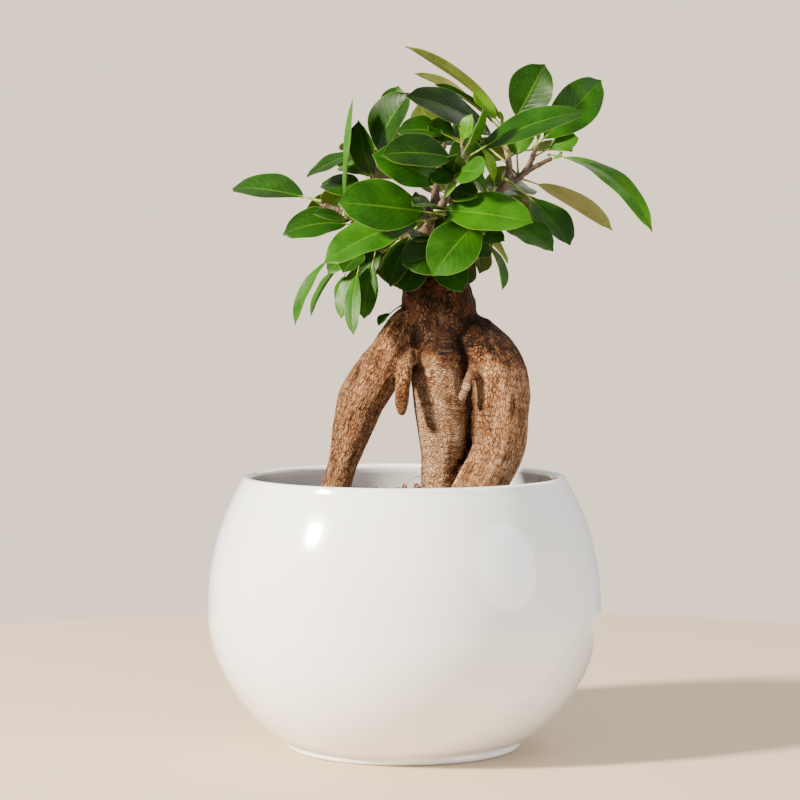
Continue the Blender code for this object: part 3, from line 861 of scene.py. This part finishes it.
def leaf_finish(name, greens, rib, margin, glow, through, roughness, relief, rib_strength):
    material, tree = new_material(name)
    blade = add(tree, "UVMap", uv_map="blade_map")
    where = add(tree, "TexCoord").outputs["Object"]
    axes = add(tree, "SeparateXYZ", {0: blade})
    out = add(tree, "Math", {0: axes.outputs[1], 1: -0.5}, operation="ADD")
    out = add(tree, "Math", {0: out}, operation="ABSOLUTE")
    out = add(tree, "Math", {0: out, 1: 2.0}, operation="MULTIPLY")
    ragged = add(tree, "TexNoise", {"Vector": where, "Scale": 260, "Detail": 2})
    drift = add(tree, "Math", {0: ragged, 1: 0.06, 2: axes.outputs[0]}, operation="MULTIPLY_ADD")
    slant = add(tree, "Math", {0: out, 1: -VEIN_SLANT, 2: drift}, operation="MULTIPLY_ADD")
    beat = add(tree, "Math", {0: slant, 1: VEIN_PAIRS}, operation="MULTIPLY")
    beat = add(tree, "Math", {0: beat, 1: 0.5}, operation="PINGPONG")
    vein = add(tree, "MapRange", {0: beat, 2: 0.07, 3: 1.0, 4: 0.0},
               interpolation_type="SMOOTHSTEP")
    fade = add(tree, "MapRange", {0: out, 1: 0.1, 2: 0.92, 3: 1.0, 4: 0.15})
    vein = add(tree, "Math", {0: vein, 1: fade}, operation="MULTIPLY")
    rib_width = add(tree, "MapRange", {0: axes.outputs[0], 3: 0.062, 4: 0.02})
    midrib = add(tree, "Math", {0: out, 1: rib_width}, operation="DIVIDE")
    midrib = add(tree, "MapRange", {0: midrib, 1: 0.3, 2: 1.3, 3: 1.0, 4: 0.0},
                 interpolation_type="SMOOTHSTEP")
    border = add(tree, "MapRange", {0: out, 1: 0.97, 2: 0.99, 4: 0.34})
    tone = add(tree, "Attribute", attribute_name="tone").outputs["Fac"]
    cloud = add(tree, "TexNoise", {"Vector": where, "Scale": 75, "Detail": 3, "Roughness": 0.55})
    shade = add(tree, "Math", {0: cloud, 1: 0.7, 2: -0.35}, operation="MULTIPLY_ADD")
    shade = add(tree, "Math", {0: shade, 1: tone}, operation="ADD", use_clamp=True)
    green = add(tree, "ValToRGB", {"Fac": shade}, stops=greens)
    vein_tint = add(tree, "Math", {0: vein, 1: 0.13}, operation="MULTIPLY")
    rib_tint = add(tree, "Math", {0: midrib, 1: rib_strength}, operation="MULTIPLY")
    dust = add(tree, "TexNoise", {"Vector": where, "Scale": 1500, "Detail": 2, "Roughness": 0.7})
    dust = add(tree, "MapRange", {0: dust, 1: 0.66, 2: 0.74, 3: 0.0, 4: 0.4})
    green = green.outputs[0]
    for amount, colour in ((vein_tint, rib), (rib_tint, rib), (border, margin), (dust, "#7d9a4c")):
        green = add(tree, "Mix", {0: amount, 6: green, 7: linear(colour)}, data_type="RGBA")
        green = green.outputs[2]
    pillow = add(tree, "MapRange", {0: beat, 2: 0.16}, interpolation_type="SMOOTHSTEP")
    grain = add(tree, "Math", {0: cloud, 1: 0.8, 2: pillow}, operation="MULTIPLY_ADD")
    bump = add(tree, "Bump", {"Height": grain, "Strength": relief, "Distance": 0.0002})
    gloss = add(tree, "MapRange", {
        0: cloud, 1: 0.3, 2: 0.7, 3: roughness - 0.05, 4: roughness + 0.07,
    })
    wax = add(tree, "BsdfPrincipled", {
        "Base Color": green, "Roughness": gloss, "IOR": 1.45, "Specular IOR Level": 0.19,
        "Normal": bump,
    })
    lit = add(tree, "BsdfTranslucent", {"Color": linear(glow)})
    both = add(tree, "MixShader", {0: through, 1: wax, 2: lit})
    add(tree, "OutputMaterial", {"Surface": both})
    return material


waxy_upper = leaf_finish(
    "waxy_leaf_upper", [(0.0, "#0a1c02"), (0.35, "#1a4404"), (0.7, "#336a06"), (1.0, "#6f9a12")],
    rib="#6d9a26", margin="#a3ba52", glow="#74b010", through=0.2, roughness=0.36, relief=0.26,
    rib_strength=0.3,
)
matt_lower = leaf_finish(
    "matt_leaf_lower", [(0.0, "#2f380c"), (0.35, "#4c5a18"), (0.7, "#717a34"), (1.0, "#a3a06a")],
    rib="#8f9c48", margin="#a5b552", glow="#93bf1c", through=0.35, roughness=0.5, relief=0.3,
    rib_strength=0.6,
)
leaf_stalk = speckled(
    "green_leaf_stalk", 320, 2, 0.5, [(0.3, "#4c5f14"), (0.7, "#93a03a")], roughness=0.42,
)

# %% Put the measured leaves on
# How bright a leaf is, from 0 for an old, dark one to 1 for a young lime one. The tone is also
# painted light and shade: leaves in shade get low tones and lit leaves high ones. These tables
# leave leaf_ out of a name.
TONES = {
    "front_01": 0.56, "front_02": 0.38, "front_03": 0.5, "front_04": 0.42, "front_05": 0.16,
    "front_06": 0.55, "front_07": 0.42, "front_08": 0.2, "front_09": 0.4, "front_10": 0.25,
    "front_11": 0.1, "front_13": 0.45, "front_15": 0.62, "front_16": 0.3, "left_01": 0.14,
    "left_02": 0.35, "left_03": 0.15, "left_04": 0.62, "left_05": 0.18, "left_06": 0.2,
    "left_07": 0.3, "left_08": 0.3, "left_09": 0.5, "left_10": 0.5, "left_15": 0.5,
    "right_01": 0.3, "right_02": 0.05, "right_03": 0.1, "right_04": 0.72, "right_05": 0.22,
    "right_06": 0.4, "right_09": 0.72, "right_10": 1.0,
}
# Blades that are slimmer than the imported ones, by their share of the width.
SLIMMER = {
    "right_04": 0.85, "right_09": 0.74, "right_10": 0.8, "left_09": 0.66, "left_10": 0.8,
    "left_15": 0.6,
}
# Leaves that turn over along their length, in radians from base to tip.
TWISTS = {"right_09": 0.45, "left_04": 0.22, "right_04": -0.2}
TIP_SHORTER = 0.6 * MM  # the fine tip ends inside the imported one
LEAF_FINISHES = (waxy_upper, matt_lower, leaf_stalk)
fine_leaves = []
for number, (name, leaf) in enumerate(measured.items()):
    short_name = name.removeprefix("leaf_")
    leaf["seed"] = 100 + number
    if short_name in TONES:
        leaf["tone"] = TONES[short_name]
    leaf["twist"] = TWISTS.get(short_name, 0)
    leaf["width"] *= SLIMMER.get(short_name, 1)
    leaf["length"] -= TIP_SHORTER
    blade_name = "blade_" + short_name
    fine = place(blade_name, leaves_mesh(blade_name, [leaf]), "leaf_green", *LEAF_FINISHES)
    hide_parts(name)
    fine_leaves.append(fine)
print(len(fine_leaves), "leaves of", len(fine_leaves[0].data.polygons), "faces")

# %% [markdown]
# The crown is denser than the imported leaves alone. Young leaves and buds sit between them, and
# more leaves fill the side and the back. The young ones are placed one by one. The rest are grown
# by chance from a fixed seed: a leaf starts on a shoot and grows outward and up, and it is kept only
# where it touches no other leaf and stays within the crown.

# %% Young leaves and buds
shoot_trees = [surface_of(skin.data) for skin in shoot_skins]


def laid_leaf(near, tip, width, facing, bow, stalk, seed):
    """A leaf from the shoot nearest to a place, in metres, to a tip."""
    found = [tree.find_nearest(Vector(near)) for tree in shoot_trees]
    start = np.array(min(found, key=lambda hit: hit[3])[0])
    span = np.array(tip) - start
    across = unit(np.cross(facing, span))
    return {
        "start": start, "along": unit(span), "across": across, "up": unit(np.cross(span, across)),
        "length": np.linalg.norm(span), "width": width, "bow": bow, "stalk": stalk, "seed": seed,
    }


# Start, tip, width, the way the upper face looks, bow, the stalk's share of the length, and tone.
# Places and sizes are in mm.
YOUNG_LEAVES = [
    ((20, -28, 266), (34, -39, 264), 13, (2, -8, 4), 1, 0.2, 0.22),
    ((25, -28, 276), (13, -40, 270), 11, (-1, -8, 4), 1, 0.2, 0.3),
    ((14, -22, 254), (27, -33, 246), 13, (1, -8, 5), 1, 0.2, 0.15),
    ((33, 2, 258), (37, -14, 262), 13, (0, -8, 4), 1, 0.25, 0.12),
    ((17, -27, 259), (4, -47, 259), 9, (0, -6, 7), 2, 0.3, 0.2),
    ((19, -28, 262), (24, -43, 268), 7, (-4, -6, 4), 1, 0.25, 0.75),
    ((27, -24, 290), (11, -27, 297), 14, (0, -8, 5), 1, 0.2, 0.1),
    ((27, -25, 289), (-3, -30, 294), 17, (0, -7, 8), 3, 0.3, 0.3),
    ((46, 6, 298), (5, 10, 324), 12, (1, 2, 8), 3, 0.25, 0.85),
    ((47, 5, 299), (33, 3, 315), 8, (-2, -6, 6), 1, 0.2, 0.9),
    ((42, 2, 266), (26, -8, 293), 18, (-4, -8, 2), 2, 0.25, 0.1),
    ((27, -26, 288), (31, -31, 302), 8, (-5, -7, 2), 1, 0.2, 0.8),
    ((44, 2, 268), (38, -5, 287), 6, (5, -7, -2), 1, 0.2, 0.95),
    ((40, 2, 262), (29, -15, 275), 13, (0, -7, 6), 2, 0.25, 0.3),
    ((35, -24, 246), (47, -31, 243), 10, (0, -7, 6), 1, 0.2, 0.4),
    ((24, -20, 241), (25, -34, 233), 12, (0, -8, 5), 1, 0.2, 0.2),
    ((-16, -7, 243), (-17, -22, 246), 10, (0, -7, 6), 1, 0.25, 0.3),
    ((-24, -9, 239), (-36, -17, 228), 10, (-3, -7, 4), 2, 0.2, 0.5),
    ((14, -21, 256), (11, -37, 261), 13, (0, -7, 6), 1, 0.2, 0.15),
    ((22, -27, 272), (25, -38, 283), 12, (0, -8, 2), 1, 0.2, 0.12),
    ((12, -18, 246), (5, -34, 243), 12, (0, -7, 5), 1, 0.2, 0.12),
]
BUD_FORM = (2.2, (1, -2, 2), 0.3, 0.05, 0.9)
BUDS = [(*ends, *BUD_FORM) for ends in (
    ((-40, -5, 261), (-46, -5, 264)), ((-32, -9, 237), (-37, -10, 235)),
    ((27, -24, 291), (26, -22, 298)), ((-6, 18, 296), (-4, 20, 302)),
    ((47, 6, 299), (46, 7, 306)), ((64, 1, 291), (65, 0, 297)), ((71, 2, 283), (76, 2, 286)),
    ((20, 34, 292), (21, 35, 299)), ((-12, 35, 266), (-18, 37, 268)),
    ((41, 37, 268), (47, 39, 269)), ((35, -25, 246), (40, -27, 249)),
)]
young = []
for rows, first_seed in ((YOUNG_LEAVES, 300), (BUDS, 400)):
    for number, (near, tip, width, facing, bow, stalk, tone) in enumerate(rows):
        leaf = laid_leaf(
            np.array(near) * MM, np.array(tip) * MM, width * MM, facing, bow * MM, stalk,
            first_seed + number,
        )
        young.append({**leaf, "tone": tone})
young_leaves = place(
    "young_leaves", leaves_mesh("young_leaves", young), "leaf_green", *LEAF_FINISHES,
)
print(len(YOUNG_LEAVES), "young leaves and", len(BUDS), "buds")

# %% Leaves behind, grown by chance
LEAVES_BEHIND = 42
TRIES = 1500
CROWN_CENTRE = np.array((0.012, 0, 0.262))
CROWN_REACH = (0.054, 1, 0.044)  # half its width, its depth, which is free, and half its height
LOWEST_START = 0.245
FRONTMOST_TIP = 6 * MM
chance = random.Random(11)
taken = [surface_of(piece.data) for piece in (*fine_leaves, young_leaves)]
far_leaves = []
for attempt in range(TRIES):
    if len(far_leaves) == LEAVES_BEHIND:
        break
    skin = chance.choice(shoot_skins)
    start = np.array(skin.data.vertices[chance.randrange(len(skin.data.vertices))].co)
    outward = unit(start - CROWN_CENTRE)
    drift = np.array([
        chance.uniform(-0.9, 0.9), chance.uniform(-0.1, 1.1), chance.uniform(-0.8, 0.6),
    ])
    tip = start + unit(outward + drift) * chance.uniform(26, 50) * MM
    from_centre = (tip - CROWN_CENTRE) / CROWN_REACH
    outside_crown = from_centre[0] ** 2 + from_centre[2] ** 2 > 1
    if tip[1] < FRONTMOST_TIP or start[2] < LOWEST_START or outside_crown:
        continue
    facing = outward * (1, 1, 0.3) + (chance.uniform(-0.4, 0.4), chance.uniform(0, 0.4), 0.9)
    leaf = laid_leaf(
        start, tip, chance.uniform(13, 22) * MM, facing, chance.uniform(2, 5) * MM,
        chance.uniform(0.16, 0.3), 500 + attempt,
    )
    trial = leaves_mesh("trial", [leaf])
    surface = surface_of(trial)
    bpy.data.meshes.remove(trial)
    if not any(surface.overlap(other) for other in taken):
        far_leaves.append(leaf)
        taken.append(surface)
place("leaves_behind", leaves_mesh("leaves_behind", far_leaves), "leaf_green", *LEAF_FINISHES)
print(len(far_leaves), "leaves behind after", attempt, "tries")

# %% [markdown]
# ## The potting mix
#
# The bowl is filled with a bark and peat mix. Its mass is a turned body with an uneven top. What
# makes it read as soil is what lies on it: crumbs of peat, chips of bark and grains of pumice.
# Geometry Nodes scatter each kind over the top. A grain is a coarse sphere pushed out of round by
# noise, then turned, stretched and sized by chance.

# %% Soil mass
soil_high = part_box("soil")[1]
SOIL_STEPS = 120
GRAIN_ROOM = 1.5 * MM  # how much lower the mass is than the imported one, for the grains on it
RIM_FALL = 1.5 * MM  # how much the mix falls from its middle to the bowl
surface = soil_high.z - GRAIN_ROOM
rim_height = surface - RIM_FALL
soil_edge = outer_radius(rim_height) - bowl_wall - 0.1 * MM
soil_outline = [(0, surface)]
soil_outline += [
    (soil_edge * k / 30, surface - (surface - rim_height) * (k / 30) ** 2) for k in range(1, 31)
]
wall_heights = np.linspace(rim_height - 3 * MM, 16 * MM, 12)
soil_outline += [(outer_radius(z) - bowl_wall - 0.3 * MM, z) for z in wall_heights]
soil_outline += [(0.8 * foot_radius, floor_height + 0.6 * MM), (0, floor_height + 0.6 * MM)]
soil_mesh = turned_mesh("potting_mix", soil_outline, SOIL_STEPS)
soil_points = points_of(soil_mesh)
on_top = smooth_step(soil_points[:, 2], rim_height - MM, rim_height)
rough = noise(soil_points, 9, 31) + 0.5 * noise(soil_points, 3.5, 32)
soil_points[:, 2] += on_top * 1.1 * MM * rough
set_points(soil_mesh, soil_points)
print("soil surface at", round(surface / MM, 1), "mm")


def crumbly(name, scale, dark, middle, light):
    stops = [(0.3, dark), (0.5, middle), (0.7, light)]
    return speckled(name, scale, 5, 0.65, stops, roughness=0.9, relief=0.6 * MM)


peat = crumbly("moist_peat", 500, "#120b06", "#24170d", "#3b2817")
bark_chip = crumbly("composted_bark_chip", 420, "#2b180c", "#57351c", "#80552f")
pumice = crumbly("pumice_grain", 600, "#a39a8a", "#c9c1b2", "#e0dbd0")
soil_mass = place("soil_mass", soil_mesh, "potting_mix", peat)
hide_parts("soil")

# %% [markdown]
# A few hair roots leave the thick ones just above the mix and dive into it. Each is a fine tube on
# a path that wanders a little by chance, as a root does that looks for moisture.

# %% Hair roots
HAIR_RADIUS = 0.24 * MM
HAIR_STEP = 1.3 * MM
HAIR_POINTS = 30
BURIED = 2 * MM  # a hair root ends this deep in the mix
# Where each hair root leaves its thick root, in mm, and the way that it sets off.
HAIR_STARTS = (
    ((8, -3, 130), (-1, -0.5, 0.1)), ((8, 0, 126), (-1, -0.2, 0.3)),
    ((10, -4, 124), (-0.6, -1, 0.1)), ((-29, -14, 126), (-0.3, -1, 0.1)),
    ((-26, -4, 125), (1, 0.3, 0.2)), ((36, -24, 127), (0.5, -1, 0.2)),
    ((24, 14, 126), (0.5, 1, 0.1)), ((14, 14, 128), (-0.4, 1, 0.3)), ((47, -6, 125), (1, 0.4, 0)),
)
hair_curve = bpy.data.curves.new("hair_roots", "CURVE")
hair_curve.dimensions = "3D"
hair_curve.bevel_depth = HAIR_RADIUS
hair_curve.bevel_resolution = 1
hair_curve.use_fill_caps = True
chance = random.Random(5)
for start, heading in HAIR_STARTS:
    point = stock_tree.find_nearest(Vector(start) * MM)[0]
    heading = Vector(heading).normalized()
    path = [point - heading * MM]
    while path[-1].z > surface - BURIED and len(path) < HAIR_POINTS:
        path.append(path[-1] + heading * HAIR_STEP)
        drift = Vector((
            chance.uniform(-0.3, 0.3), chance.uniform(-0.3, 0.3), chance.uniform(-0.38, 0.02),
        ))
        heading = (heading + drift).normalized()
    spline = hair_curve.splines.new("POLY")
    spline.points.add(len(path) - 1)
    for step, place_on_path in enumerate(path):
        spline.points[step].co = (*place_on_path, 1)
        spline.points[step].radius = 1 - 0.5 * step / len(path)
hair_mesh = mesh_left_by("hair_tubes", in_scene("hair_guide", hair_curve))
hair_mesh = welded("hair_roots", hair_mesh, 0.01 * MM)
hair_mesh.shade_smooth()
pale_root = speckled(
    "pale_root_skin", 400, 2, 0.5, [(0.35, "#7b5f42"), (0.65, "#b89c76")], roughness=0.6,
)
place("hair_roots", hair_mesh, "stock_bark", pale_root)
print(len(HAIR_STARTS), "hair roots")

# %% Scatter grains with Geometry Nodes


def open_ground():
    """The soil's top faces, without those inside a root."""
    body = bmesh.new()
    body.from_mesh(soil_mesh)
    hidden = []
    for face in body.faces:
        centre = face.calc_center_median()
        flat_radius = math.hypot(centre.x, centre.y)
        hit, normal, _, _ = stock_tree.find_nearest(centre)
        inside = (centre - hit).dot(normal) < 0
        if centre.z < rim_height - 2 * MM or flat_radius > soil_edge - 2.5 * MM or inside:
            hidden.append(face)
    bmesh.ops.delete(body, geom=hidden, context="FACES")
    return mesh_from("open_ground", body)


def grain_tree():
    """Scatter out-of-round grains over a surface, with their sizes as named inputs."""
    tree = bpy.data.node_groups.new("scatter_grains", "GeometryNodeTree")
    for name, kind in (
        ("Ground", "Geometry"), ("Spacing", "Float"), ("Density", "Float"), ("Radius", "Float"),
        ("Stretch", "Vector"), ("Seed", "Int"), ("Finish", "Material"),
    ):
        tree.interface.new_socket(name, in_out="INPUT", socket_type="NodeSocket" + kind)
    tree.interface.new_socket("Grains", in_out="OUTPUT", socket_type="NodeSocketGeometry")
    given = add(tree, "NodeGroupInput").outputs
    spread = add(tree, "GeometryNodeDistributePointsOnFaces", {
        "Mesh": given["Ground"], "Distance Min": given["Spacing"], "Density Max": given["Density"],
        "Seed": given["Seed"],
    }, distribute_method="POISSON")
    ball = add(tree, "GeometryNodeMeshUVSphere", {"Radius": 1.0, "Segments": 8, "Rings": 5})
    spot = add(tree, "GeometryNodeInputPosition")
    shift = add(tree, "VectorMath", {0: spot, 1: given["Stretch"]}, operation="ADD")
    bumps = add(tree, "TexNoise", {"Vector": shift, "Scale": 1.1, "Detail": 1})
    swell = add(tree, "MapRange", {0: bumps, 1: 0.3, 2: 0.7, 3: 0.65, 4: 1.3})
    shaped = add(tree, "VectorMath", {0: spot, "Scale": swell}, operation="SCALE")
    grain = add(tree, "GeometryNodeSetPosition", {"Geometry": ball, "Position": shaped})
    spin = add(tree, "FunctionNodeRandomValue", {
        0: (0, 0, 0), 1: (6.28, 6.28, 6.28), "Seed": given["Seed"],
    }, data_type="FLOAT_VECTOR")
    size = add(tree, "FunctionNodeRandomValue", {2: 0.45, 3: 1.2, "Seed": given["Seed"]},
               data_type="FLOAT")
    size = add(tree, "Math", {0: size.outputs[1], 1: given["Radius"]}, operation="MULTIPLY")
    scale = add(tree, "VectorMath", {0: given["Stretch"], "Scale": size}, operation="SCALE")
    many = add(tree, "GeometryNodeInstanceOnPoints", {
        "Points": spread, "Instance": grain, "Rotation": spin, "Scale": scale,
    })
    real = add(tree, "GeometryNodeRealizeInstances", {0: many})
    dressed = add(tree, "GeometryNodeSetMaterial", {"Geometry": real, "Material": given["Finish"]})
    add(tree, "NodeGroupOutput", {"Grains": dressed})
    return tree


grain_group = grain_tree()
ground_mesh = open_ground()


def scattered(name, group, mesh, **values):
    """The result of a scatter tree on a mesh, as a plain mesh."""
    holder = in_scene(name + "_ground", mesh)
    scatter = holder.modifiers.new("Scatter", "NODES")
    scatter.node_group = group
    for item in group.interface.items_tree:
        if item.in_out == "INPUT" and item.name in values:
            scatter[item.identifier] = values[item.name]
    made = mesh_left_by(name, holder)
    print(name, len(made.polygons), "faces")
    return made


for name, finish, spacing, radius, stretch, seed in (
    ("peat_crumbs", peat, 2.3, 1.15, (1.1, 0.95, 0.75), 3),
    ("bark_chips", bark_chip, 4.6, 2.3, (1.6, 0.9, 0.45), 5),
    ("pumice_grains", pumice, 9.5, 1.5, (1.05, 0.95, 0.85), 8),
):
    grains = scattered(
        name, grain_group, ground_mesh, Finish=finish, Spacing=spacing * MM, Density=4e5,
        Radius=radius * MM, Stretch=stretch, Seed=seed,
    )
    place(name, grains, "potting_mix")
